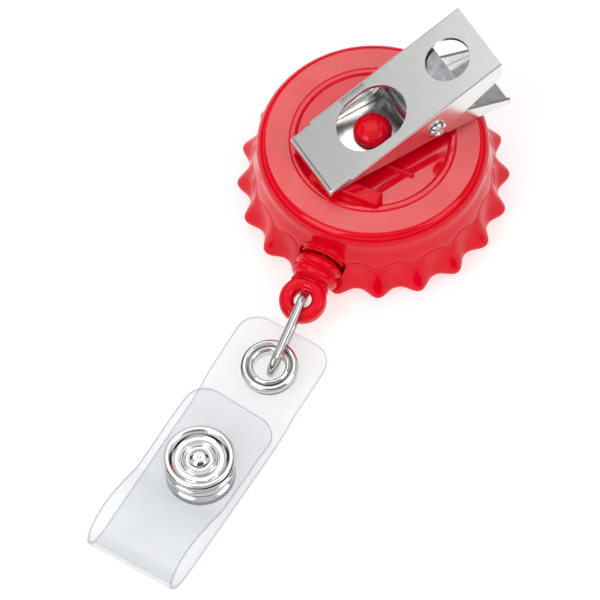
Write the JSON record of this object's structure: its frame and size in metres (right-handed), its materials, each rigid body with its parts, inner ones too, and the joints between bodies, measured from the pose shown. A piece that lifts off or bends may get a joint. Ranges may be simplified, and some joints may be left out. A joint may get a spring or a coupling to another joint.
{
  "type": "retractable badge reel",
  "caption": "Red crown-shaped retractable badge reel with swivelling bulldog clip, cord-end eye, wire link and clear vinyl snap strap.",
  "frame": {"origin": "centre of the case's flat front face, which lies on the table", "axes": "+Z from the front face to the clip side; the cord leaves along -Y; +X is to the right seen from the clip side with the cord exit down"},
  "size_m": [0.035, 0.0818, 0.0232],
  "materials": {
    "front_shell": "saturated red, glossy, injection moulded",
    "back_shell": "saturated red, glossy, injection moulded",
    "swivel_post": "saturated red, glossy",
    "cord_nozzle": "saturated red, glossy",
    "cord_run": "braided nylon cord, guessed colour",
    "spool": "natural white acetal, guessed",
    "cord_winding": "braided nylon cord, guessed colour",
    "power_spring": "hardened spring strip, guessed",
    "cord_end_fitting": "saturated red, glossy",
    "wire_link": "bright nickel-plated wire",
    "strap_back_layer": "clear flexible vinyl",
    "strap_front_layer": "clear flexible vinyl",
    "eyelet": "bright nickel plate",
    "eyelet_washer": "bright nickel plate",
    "snap_stud": "bright nickel plate",
    "snap_base": "bright nickel plate",
    "snap_cap": "bright nickel plate",
    "snap_socket": "bright nickel plate",
    "clip_lower_jaw": "bright nickel-plated pressed steel",
    "clip_upper_jaw": "bright nickel-plated pressed steel",
    "clip_pivot_pin": "bright nickel plate",
    "clip_spring": "spring steel strip, partly seen through the window"
  },
  "bodies": {
    "case": {"front_shell": "front_shell", "back_shell": "back_shell", "swivel_post": "swivel_post", "cord_nozzle": "cord_nozzle", "cord_run": "cord_run"},
    "spool_body": {"spool": "spool", "cord_winding": "cord_winding", "power_spring": "power_spring"},
    "clip_base": {"clip_lower_jaw": "clip_lower_jaw", "clip_pivot_pin": "clip_pivot_pin", "clip_spring": "clip_spring"},
    "clip_jaw": {"clip_upper_jaw": "clip_upper_jaw"},
    "cord_end": {"cord_end_fitting": "cord_end_fitting"},
    "link": {"wire_link": "wire_link"},
    "strap": {"strap_back_layer": "strap_back_layer", "eyelet": "eyelet", "eyelet_washer": "eyelet_washer", "snap_stud": "snap_stud", "snap_base": "snap_base"},
    "strap_flap": {"strap_front_layer": "strap_front_layer", "snap_cap": "snap_cap", "snap_socket": "snap_socket"}
  },
  "joints": [
    {"name": "cord_pull", "type": "slide", "parent": "case", "child": "cord_end", "axis": [0, -1, 0], "range_m": [0, 0.8], "stiffness_N_per_m": 0.4, "springref_m": -0.8, "deforming": ["cord_run"]},
    {"name": "spool_spin", "type": "hinge", "parent": "case", "child": "spool_body", "pos_m": [0, 0, 0.0054], "axis": [0, 0, 1], "range_deg": [-4590, 0], "deforming": ["power_spring"]},
    {"name": "clip_swivel", "type": "hinge", "parent": "case", "child": "clip_base", "pos_m": [0, 0, 0.0135], "axis": [0, 0, 1], "range_deg": [-74, 140]},
    {"name": "jaw_open", "type": "hinge", "parent": "clip_base", "child": "clip_jaw", "pos_m": [0.00362, 0.00516, 0.0163], "axis": [-0.8453, 0.5344, 0], "range_deg": [0, 22], "stiffness_Nm_per_rad": 0.002, "springref_deg": -34.38, "deforming": ["clip_spring"]},
    {"name": "link_swing", "type": "hinge", "parent": "cord_end", "child": "link", "pos_m": [0, -0.02325, 0.00364], "axis": [1, 0, 0], "range_deg": [-75, 60]},
    {"name": "strap_swing", "type": "hinge", "parent": "link", "child": "strap", "pos_m": [0.0003, -0.0315, 0.0021], "axis": [0, 0, 1], "range_deg": [-18, 28]},
    {"name": "strap_open", "type": "hinge", "parent": "strap", "child": "strap_flap", "pos_m": [-0.00354, -0.06258, 0.0015], "axis": [0.9947, -0.1028, 0], "range_deg": [0, 75]}
  ],
  "couplings": [
    {"joint": "spool_spin", "follows": "cord_pull", "rad_per_m": -100}
  ]
}
